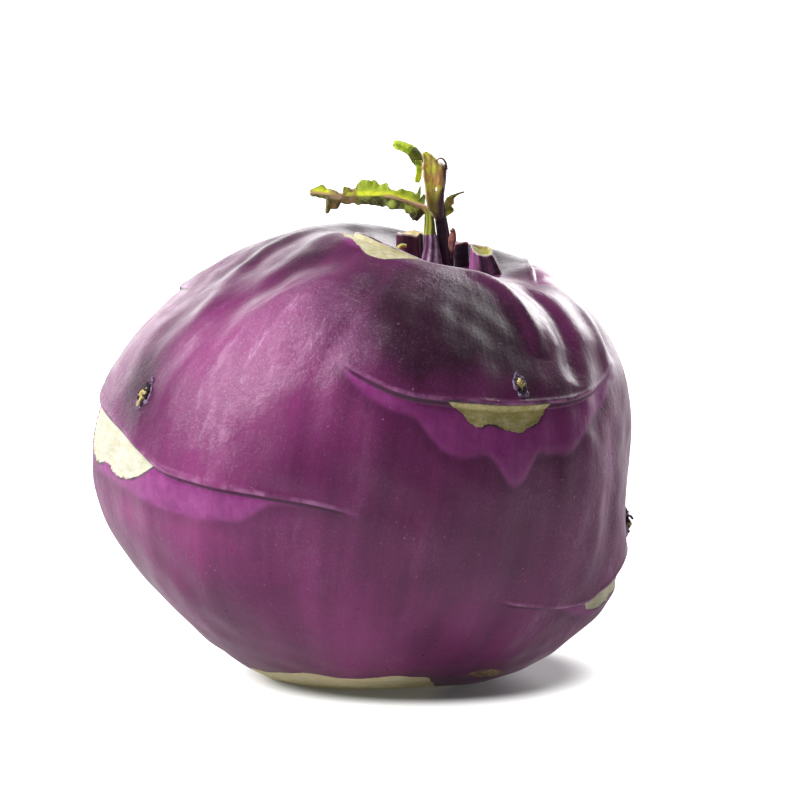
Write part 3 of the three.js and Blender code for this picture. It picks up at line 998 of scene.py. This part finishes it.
class Nodes:
    """The nodes of a material or a world, with short ways to add more."""

    def __init__(self, owner):
        owner.use_nodes = True
        self.owner = owner
        self.tree = owner.node_tree

    def put(self, socket, value):
        if isinstance(value, Value):
            self.tree.links.new(value.socket, socket)
        elif socket.type == "RGBA":
            socket.default_value = linear(*value)
        else:
            socket.default_value = value

    def add(self, kind, output, inputs=(), **settings):
        """Adds a node with these inputs and settings, and returns one of its outputs."""
        node = self.tree.nodes.new(kind)
        for name, setting in settings.items():
            setattr(node, name, setting)
        for socket, value in dict(inputs).items():
            self.put(node.inputs[socket], value)
        return Value(self, node.outputs[output])

    def maths(self, operation, *values):
        return self.add("ShaderNodeMath", "Value", enumerate(values), operation=operation)

    def vector(self, operation, *values, output="Vector"):
        return self.add("ShaderNodeVectorMath", output, enumerate(values), operation=operation)

    def mix(self, share, first, second, blend="MIX"):
        node = self.tree.nodes.new("ShaderNodeMix")
        node.data_type = "RGBA"
        node.blend_type = blend
        self.put(node.inputs["Factor"], share)
        colours = [socket for socket in node.inputs if socket.type == "RGBA"]
        self.put(colours[0], first)
        self.put(colours[1], second)
        return Value(self, next(socket for socket in node.outputs if socket.type == "RGBA"))

    def layers(self, ground, *coats):
        """A ground colour with coats of (share, colour) over it, in that order."""
        for share, tint in coats:
            ground = self.mix(share, ground, tint)
        return ground


class Shader(Nodes):
    """One material with one Principled shader. Sizes of its patterns are in millimetres."""

    def __init__(self, name, plain):
        super().__init__(bpy.data.materials.new(name))
        self.surface = self.tree.nodes["Principled BSDF"]
        self.place = self.vector("MULTIPLY", self.add("ShaderNodeTexCoord", "Object"), (1 / MM,) * 3)
        self.plain(plain)

    def plain(self, values):
        """Sets uniform values on the shader's own sockets."""
        for name, value in values.items():
            self.surface.inputs[name].default_value = value

    def field(self, name, output="Fac"):
        return self.add("ShaderNodeAttribute", output, attribute_name=name)

    def fields(self, *names):
        return [self.field(name) for name in names]

    def noise(self, size, detail=3.0, roughness=0.55, at=None, stretch=None, distortion=0.0):
        """Noise from 0 to 1 with features of that size. stretch scales the place it is taken at."""
        if stretch:
            at = self.vector("MULTIPLY", at, stretch)
        return self.add("ShaderNodeTexNoise", "Fac", {
            "Vector": at or self.place, "Scale": 1 / size, "Detail": detail, "Roughness": roughness,
            "Distortion": distortion})

    def bump(self, height, distance, strength):
        return self.add("ShaderNodeBump", "Normal", {
            "Height": height, "Distance": distance * MM, "Strength": strength})

    def finish(self, base, roughness, normal):
        self.put(self.surface.inputs["Base Color"], base)
        self.put(self.surface.inputs["Roughness"], roughness)
        self.put(self.surface.inputs["Normal"], normal)
        return self.owner


# ---------------------------------------------------------------- materials

SOFT = {"IOR": 1.45, "Subsurface Weight": 0.3, "Subsurface Scale": 0.0015}
SKIN = {"IOR": 1.46, "Subsurface Weight": 0.06, "Subsurface Scale": 0.002,
        "Subsurface Radius": (1.0, 0.4, 0.6), "Coat Weight": 0.08, "Coat Roughness": 0.3,
        "Specular IOR Level": 0.42}
STALK = {"IOR": 1.45, "Subsurface Weight": 0.15, "Subsurface Scale": 0.0015, "Coat Weight": 0.1,
         "Coat Roughness": 0.3}


def skin_material():
    """Waxy purple skin, with fresh magenta skin and pale cut faces under the scar lines."""
    s = Shader("purple_skin", SKIN)
    grain = s.field("grain", "Vector")
    streaks = s.noise(1.6, 4, 0.6, grain, (1, 1, 0.07))
    wide_streaks = s.noise(6, 3, 0.5, grain, (1, 1, 0.2))
    clouds = s.noise(14, 4, 0.6)
    mottle = s.noise(2.2, 5, 0.7)
    # How deep the skin's colour is: its own tone and the painted shade and painted light of the tone
    # patches, with clouds and streaks.
    deep = s.field("tone") + clouds * 0.9 + wide_streaks * 0.7 + mottle * 0.5 - 1.05
    skin = s.layers(
        (150, 56, 122),
        (deep.step(-0.9, 0.35), (106, 40, 88)),
        (deep.step(0.2, 1.1), (50, 18, 40)))
    skin = s.mix(0.8, skin, streaks * 0.7 + 0.66, "MULTIPLY")

    # Waxy bloom, thicker in patches, with smears and fine grains, and groups of pale pores. The pale smears
    # in the thick bloom also paint the crinkled highlight on the lit left lobe.
    bloom = s.field("bloom").step(-0.1, 0.9) * mottle.step(0.3, 0.7, 0.35, 1)
    smear_and_sheen = s.noise(4.0, 5, 0.75, grain, (1, 1, 0.35)).step(0.5, 0.72) * deep.step(0.4, -0.2)
    speck = s.noise(0.35, 2, 0.7).step(0.52, 0.72)
    pores = s.add("ShaderNodeTexVoronoi", "Distance", {"Vector": s.place, "Scale": 1 / PORE_SPACING})
    pore = pores.step(0.15, 0.05) * (s.noise(9, 3, 0.6).step(0.5, 0.68) * 0.4 + 0.04)

    # Fresh skin under a scar line, and painted shade on the skin just under its lower edge.
    line, fade = s.fields("scar_line", "scar_fade")
    zone = s.field("scar_zone") + s.noise(2.5, 3, 0.5) * 0.8 - 0.4
    shade_below_zone = zone.step(-3.0, -0.2) * zone.step(0.5, -0.2) * s.maths("GREATER_THAN", line, 0.0)
    fresh = s.layers(
        (142, 52, 124),
        (mottle.step(0.3, 0.75), (168, 78, 150)),
        (deep.step(-0.1, 0.9, 0, 0.8), (118, 44, 96)),
        (streaks.step(0.35, 0.75, 0, 0.3), (112, 46, 98)))

    # Pale lip above the scar line, painted shade in the crease under it, and a painted highlight along the
    # crest of the hollow's rim; lip and highlight are broken up by one noise.
    wear_and_highlight = s.noise(3.0, 4, 0.6).step(0.35, 0.65)
    lip = line.step(-0.9, -0.3) * line.step(0.05, -0.12) * wear_and_highlight * fade.step(0.0, 0.3)
    crease_shade = line.step(-0.1, 0.12) * line.step(0.7, 0.3) * fade.step(0.0, 0.25)
    rim_highlight = s.field("rim").step(1.1, 0.3) * (wear_and_highlight * 0.4 + 0.45)

    # Cut faces: pale flesh with fibres, green and brown where it has dried, in a dark rind.
    ragged = s.noise(1.1, 5, 0.7) * 1.2 - 0.6
    face = s.field("scar_face") + ragged * line.step(0.2, 1.3)
    fibres = s.noise(1.0, 5, 0.7, grain, (0.35, 0.35, 1))
    dry = s.layers(
        (226, 214, 164),
        (fibres.step(0.3, 0.65), (184, 172, 106)),
        (s.noise(0.7, 4, 0.7).step(0.5, 0.72, 0, 0.7), (144, 134, 74)))
    flesh = s.layers(
        (222, 220, 206),
        (fibres.step(0.3, 0.7), (204, 199, 170)),
        (s.field("dryness"), dry),
        (s.noise(2.8, 4, 0.6).step(0.62, 0.74, 0, 0.35), (176, 140, 104)))
    rind = face.step(-0.5, -0.05) * face.step(0.4, 0.0) * s.noise(3.2, 2).step(0.42, 0.6)
    on_face = face.step(-0.05, 0.15)

    # The cut heel, and dry brown flakes of husk near it.
    heel = s.field("heel") + ragged * 0.5
    heel_edge = heel.step(-0.4, 0.0) * heel.step(0.4, 0.05)
    sole = s.mix(fibres.step(0.3, 0.7), (253, 245, 206), (242, 225, 166))
    on_heel = heel.step(0.0, 0.15)
    flake = s.field("flake") + s.noise(1.4, 5, 0.7) * 0.9 - 0.45
    husk = s.mix(s.noise(0.8, 4, 0.7).step(0.35, 0.65), (196, 172, 132), (122, 96, 78))
    on_flake = flake.step(0.0, 0.12)

    skin = s.layers(
        skin,
        (bloom * 0.25, (190, 130, 176)),
        (smear_and_sheen * bloom * 0.75, (222, 172, 208)),
        (speck * (bloom * 0.4 + 0.05), (224, 176, 212)),
        (pore, (206, 160, 192)),
        # painted shade under the fresh skin
        (shade_below_zone * 0.3, (66, 24, 58)),
        (zone.step(-0.6, 0.8), fresh),
        (lip * 0.65, (190, 126, 176)),
        (crease_shade * 0.75, (44, 22, 38)),
        (rim_highlight, (240, 226, 238)),
        (rind, (58, 54, 56)),
        (on_face, flesh),
        (heel_edge * 0.5, (86, 44, 62)),
        (on_heel, sole),
        (on_flake, husk))
    cut = s.maths("MAXIMUM", s.maths("MAXIMUM", on_face, on_heel), on_flake)
    rough = s.maths("MINIMUM", mottle * 0.2 + bloom * 0.3 + cut * 0.35 + 0.2, 1.0)
    crinkle = s.noise(1.1, 5, 0.75) * (bloom * 2.4 + 0.2)
    cut_relief = cut * s.noise(0.8, 4, 0.7) * 2.0
    relief = streaks * 0.5 + mottle * 0.6 + pore * 0.5 + crinkle + cut_relief
    return s.finish(skin, rough, s.bump(relief, 0.15, 0.6))


def stalk_material(name, dark, middle, pale):
    """Ribbed stalk: dark in the furrows, paler on the ribs."""
    s = Shader(name, STALK)
    mottle = s.noise(1.2, 4, 0.65)
    on_rib = s.field("rib").step(-0.6, 0.9) * mottle.step(0.3, 0.8, 0.1, 0.8)
    base = s.layers(dark, (mottle.step(0.25, 0.75), middle), (on_rib, pale))
    return s, base, mottle


def upright_leaf_material():
    """Dark stalk; the rolled blade is olive and brown, darker low down, with painted shade on its side
    rolled to the back; the tip is yellow-green, with painted shade in its fold and its hanging lobe painted
    brighter as painted light.
    """
    s, base, mottle = stalk_material("young_stalk", (32, 14, 28), (56, 26, 46), (88, 52, 80))
    s.plain({"Subsurface Weight": 0.35, "Subsurface Scale": 0.002, "Subsurface Radius": (1.0, 0.9, 0.4)})
    green, across, along, rim = s.fields("green", "across", "along", "rim")
    fibres = s.noise(0.5, 3, 0.6, s.place, (1, 1, 0.15))
    low = (fibres * 0.25 + along).step(0.68, 0.36)
    olive = s.layers(
        (204, 180, 112),
        (s.noise(1.6, 4, 0.6).step(0.4, 0.6), (234, 226, 92)),
        (s.noise(2.2, 3, 0.6).step(0.52, 0.62, 0, 0.85), (222, 150, 116)),
        (fibres.step(0.45, 0.62, 0, 0.7), (150, 104, 88)),
        (low * 0.8, (96, 84, 56)),
        # Painted shade on the side of the blade rolled to the back.
        ((low * 1.3 + across).step(0.95, 1.7), (70, 34, 58)),
        (along.step(0.16, 0.0), (50, 22, 42)),
        (rim.step(0.26, 0.08) * across.step(-0.3, -0.8) * 0.6, (206, 186, 160)))
    # The hanging lobe is painted brighter: painted light that it does not get.
    hanging = green.step(1.05, 1.15) * along.step(0.3, 0.5)
    leaf = s.layers(
        (120, 152, 40),
        (s.noise(1.1, 4, 0.65).step(0.4, 0.6), (202, 222, 78)),
        (s.noise(0.6, 3, 0.6).step(0.6, 0.75, 0, 0.6), (96, 112, 44)),
        # Painted shade in the fold of the tip.
        (along.step(0.5, 0.44) * green.step(1.15, 1.05), (62, 84, 34)),
        (hanging * 0.7, (206, 236, 50)))
    base = s.layers(base, (green.step(0.2, 0.45), olive), (green.step(0.6, 0.9), leaf))
    return s.finish(base, mottle * 0.2 + 0.36, s.bump(fibres + mottle, 0.1, 0.6))


def left_leaf_material():
    """Lavender foot, with painted shade on its left side and a painted highlight on its right, and green
    stalk; the blade is bright above its midrib and dark olive under it, partly its own colour and partly
    painted light and painted shade.
    """
    s, foot, mottle = stalk_material("young_leaf_left", (104, 50, 92), (150, 92, 142), (230, 212, 228))
    s.plain({"Subsurface Weight": 0.2, "Subsurface Scale": 0.0008, "Subsurface Radius": (1.0, 1.0, 0.3)})
    green, along, across, length, turn, rib, rim = s.fields(
        "green", "along", "across", "length", "turn", "rib", "rim")
    foot = s.layers(
        foot,
        # Painted shade on the foot's left side, a painted highlight on its right half.
        (turn.step(-0.3, -0.9, 0, 0.6), (96, 40, 84)),
        (turn.step(-0.1, 0.5) * mottle.step(0.35, 0.6, 0.3, 0.9), (206, 186, 210)))
    stalk = s.layers(
        (178, 186, 62),
        (turn.step(-0.6, 0.8), (96, 92, 48)),
        (rib.step(0.2, 0.9, 0, 0.5), (206, 212, 112)),
        (along.step(0.52, 0.6), (206, 158, 128)))
    foot_top = (mottle * 0.03 + along).step(0.325, 0.34)

    # Blotches shift the edges of the blade's own patches.
    patch = s.noise(2.0, 4, 0.6)
    blotch = s.noise(0.9, 3, 0.6)
    drift = blotch * 1.6 - 0.8
    along = drift * 0.04 + along
    length = length + drift
    # The half above the midrib faces up to the lamp and the half under it faces down: their colours are
    # partly painted light and painted shade.
    upper = s.layers(
        (226, 234, 56),
        (across.step(0.5, 1.3), (168, 186, 50)),
        (blotch.step(0.5, 0.7, 0, 0.5), (150, 160, 52)))
    lobes = s.maths("SINE", length * 2.24 + 0.68).step(-0.4, 0.9) * length.step(8.0, 6.5)
    lobes = lobes * (drift * 0.8 + across).step(-0.3, -1.3)
    lower = s.layers(
        (64, 60, 32),
        (patch.step(0.4, 0.65), (124, 130, 52)),
        (lobes, (176, 190, 84)),
        (along.step(0.1, 0.05), (70, 54, 36)))
    brown = along.step(0.59, 0.63) * along.step(0.86, 0.8) * patch.step(0.35, 0.6, 0.4, 1)
    neck = along.step(0.72, 0.75) * along.step(0.86, 0.82) * across.step(-1.0, -0.7, 0, 0.45)
    vein = abs(s.maths("SINE", (length + abs(across)) * 1.9)).step(0.12, 0.02)
    midrib = abs(across).step(0.45, 0.15) * along.step(0.42, 0.34)
    tip_rib = abs(across).step(0.4, 0.1) * along.step(0.82, 0.86)
    leaf = s.layers(
        lower,
        (across.step(-0.3, 0.15), upper),
        (along.step(0.13, 0.09) * across.step(0.4, 0.9) * 0.8, (96, 118, 52)),
        (brown, (124, 94, 58)),
        (neck, (186, 150, 128)),
        (vein * 0.4, (206, 206, 120)),
        (s.maths("MAXIMUM", midrib, tip_rib) * 0.8, (206, 160, 128)),
        (rim.step(0.2, 0.05, 0, 0.5), (84, 90, 40)))
    base = s.layers(foot, (foot_top, stalk), (green.step(0.6, 0.9), leaf))
    return s.finish(base, mottle * 0.2 + 0.4, s.bump(vein * 0.8 + s.noise(0.6, 4, 0.7), 0.12, 0.7))


def small_leaf_material():
    """Brown and green, with a pale stalk."""
    s = Shader("young_leaf_small", {**SOFT, "Subsurface Radius": (1.0, 1.0, 0.3)})
    patch = s.noise(1.3, 4, 0.6)
    blade_colour = s.mix(patch.step(0.35, 0.65), (112, 92, 48), (70, 84, 42))
    leaf = s.layers(
        (196, 184, 92),
        (s.field("along").step(0.0, 0.3), blade_colour),
        (s.noise(0.9, 3).step(0.5, 0.65, 0, 0.8), (130, 84, 62)))
    return s.finish(leaf, patch * 0.2 + 0.42, s.bump(s.noise(0.5, 4, 0.7), 0.1, 0.6))


def dried_material():
    """Brown and pink, with a pale margin and a dark foot."""
    s = Shader("dried_leaf", SOFT)
    patch = s.noise(1.0, 4, 0.65)
    along, rim = s.fields("along", "rim")
    base = s.layers(
        (96, 58, 66),
        (patch.step(0.3, 0.7), (162, 124, 112)),
        (along.step(0.75, 0.95), (150, 120, 88)),
        (rim.step(0.25, 0.06, 0, 0.7), (188, 152, 142)),
        (along.step(0.5, 0.38), (44, 22, 38)))
    return s.finish(base, patch * 0.2 + 0.5, s.bump(s.noise(0.4, 4, 0.7), 0.1, 0.8))


def cut_tip_material():
    """Pale yellow-green, purple at the foot."""
    s = Shader("cut_flesh", {**SOFT, "IOR": 1.42})
    patch = s.noise(0.8, 4, 0.65)
    base = s.layers(
        (226, 222, 132),
        (patch.step(0.35, 0.7), (196, 190, 84)),
        (s.field("along").step(0.45, 0.1), (120, 78, 84)))
    return s.finish(base, patch * 0.2 + 0.45, s.bump(patch, 0.15, 0.8))


def stub_material(name, wall_dark, wall_pale, wall_side, flesh_pale, flesh_deep):
    """Dark ribbed wall, pale rim, and a cut top that has dried brown in places."""
    s, wall, mottle = stalk_material(name, wall_dark, wall_pale, wall_side)
    turn, along, cut = s.fields("turn", "along", "cut")
    flesh = s.layers(
        flesh_deep,
        (s.noise(1.0, 4, 0.65).step(0.35, 0.65), flesh_pale),
        (s.noise(1.5, 4, 0.6, distortion=0.6).step(0.58, 0.7), (124, 88, 58)))
    base = s.layers(
        wall,
        (turn.step(-0.55, -0.95), wall_side),
        (along.step(0.93, 0.99) * cut.step(0.35, 0.15) * 0.85, (214, 198, 200)),
        (cut.step(0.08, 0.2), flesh))
    rough = cut.step(0.05, 0.2) * 0.3 + mottle * 0.2 + 0.34
    return s.finish(base, rough, s.bump(mottle + s.noise(0.5, 4, 0.7), 0.12, 0.7))


def bud_material():
    """Lavender-grey collar and scales, near black between them, and dry yellow crumbs."""
    s = Shader("dormant_bud", {"IOR": 1.45})
    rim, crumb, dark = s.fields("rim", "crumb", "dark")
    grainy = s.noise(0.45, 4, 0.7)
    pale = s.mix(grainy.step(0.4, 0.65), (88, 62, 96), (158, 136, 168))
    papery = s.mix(grainy.step(0.35, 0.6), (150, 120, 62), (226, 208, 136))
    base = s.layers(
        (30, 16, 30),
        (grainy.step(0.35, 0.65), (70, 46, 70)),
        ((grainy * 0.5 + rim).step(0.6, 1.1), pale),
        (crumb.step(0.4, 0.6), papery),
        (dark.step(0.4, 0.6), (28, 14, 26)))
    return s.finish(base, grainy * 0.2 + 0.5, s.bump(grainy, 0.15, 0.8))


# ---------------------------------------------------------------- stage, light and camera


def studio_world():
    """A white room, bright behind the kohlrabi, low down, and brighter still on the right."""
    world = bpy.data.worlds.new("studio")
    bpy.context.scene.world = world
    sky = Nodes(world)
    background = world.node_tree.nodes["Background"]
    direction = sky.add("ShaderNodeTexCoord", "Generated")
    x, y, z = [sky.add("ShaderNodeSeparateXYZ", axis, {"Vector": direction}) for axis in "XYZ"]
    behind = y.step(0.4, 0.98, 0.0, 2.8)
    low = z.step(0.5, 0.1, 0.06, 1.0)
    right = x.step(0.05, 0.5, 1.0, 2.0)
    camera_ray = sky.add("ShaderNodeLightPath", "Is Camera Ray")
    strength = sky.add("ShaderNodeMix", "Result", {
        "Factor": camera_ray, "A": behind * low * right + ROOM_FILL, "B": 1.0})
    sky.put(background.inputs["Color"], (255, 255, 255))
    sky.put(background.inputs["Strength"], strength)


def add_lamp(name, place, aim, size, power):
    light = bpy.data.lights.new(name, "AREA")
    light.shape = "RECTANGLE"
    light.size, light.size_y = size
    light.energy = power
    item = bpy.data.objects.new(name, light)
    bpy.context.scene.collection.objects.link(item)
    item.location = place
    item.rotation_euler = (Vector(aim) - Vector(place)).to_track_quat("-Z", "Y").to_euler()


def add_floor():
    """White paper. It glows for the camera outside an ellipse round the contact shadow, so the ellipse
    paints the contact shadow's shape.
    """
    floor_mesh = bpy.data.meshes.new("floor")
    corners = [(-1, -1), (1, -1), (1, 1), (-1, 1)]
    floor_mesh.from_pydata([(x * FLOOR_HALF, y * FLOOR_HALF, 0) for x, y in corners], [], [(0, 1, 2, 3)])
    floor = bpy.data.objects.new("floor", floor_mesh)
    bpy.context.scene.collection.objects.link(floor)
    paper = Shader("floor_paper", {
        "Base Color": (0.6, 0.6, 0.6, 1), "Roughness": 0.9, "Specular IOR Level": 0.0,
        "Emission Color": (1, 1, 1, 1)})
    camera_ray = paper.add("ShaderNodeLightPath", "Is Camera Ray")
    across, deep = SHADOW_HALF_SIZE
    from_middle = paper.vector("SUBTRACT", paper.place, SHADOW_MIDDLE)
    from_middle = paper.vector("MULTIPLY", from_middle, (1 / across, 1 / deep, 0))
    open_floor = paper.vector("LENGTH", from_middle, output="Value").step(0.78, 1.12)
    paper.put(paper.surface.inputs["Emission Strength"], camera_ray * open_floor + 0.04)
    floor_mesh.materials.append(paper.owner)


def add_camera():
    scene = bpy.context.scene
    scene.view_settings.view_transform = "Standard"
    camera_data = bpy.data.cameras.new("camera")
    camera = bpy.data.objects.new("camera", camera_data)
    scene.collection.objects.link(camera)
    scene.camera = camera
    camera_data.lens = CAMERA_LENS
    camera_data.sensor_width = 36
    target = Vector((CAMERA_TARGET + OFFSET) * MM)
    back_off = Vector((0, -np.cos(CAMERA_RISE), np.sin(CAMERA_RISE))) * CAMERA_DISTANCE * MM
    camera.location = target + back_off
    camera.rotation_euler = (-back_off).to_track_quat("-Z", "Y").to_euler()


# ---------------------------------------------------------------- pieces

add_piece("kohlrabi_stem", stem_part(), skin_material(), "swollen_stem")
add_piece("upright_leaf", upright_leaf_part(), upright_leaf_material(), "leaf_upright")
add_piece("left_leaf", left_leaf_part(), left_leaf_material(), "leaf_left")
add_piece("small_leaf", small_leaf_part(), small_leaf_material(), "leaf_small_right")
add_piece("dried_tip", dried_tip_part(), dried_material(), "leaf_dried_tip")
add_piece("cut_tip", cut_tip_part(), cut_tip_material(), "leaf_tip_cut")
for name, shape, colours in STUBS:
    add_piece(name, stub_part(**shape), stub_material(name, *colours), "stalk_" + name)
bud_finish = bud_material()
for name, azimuth, *shape in BUDS:
    part = bud_part(azimuth, *shape, seed=azimuth + 300)
    add_piece("bud_scales_" + name, part, bud_finish, "bud_" + name)

studio_world()
for lamp in LAMPS:
    add_lamp(*lamp)
add_floor()
add_camera()
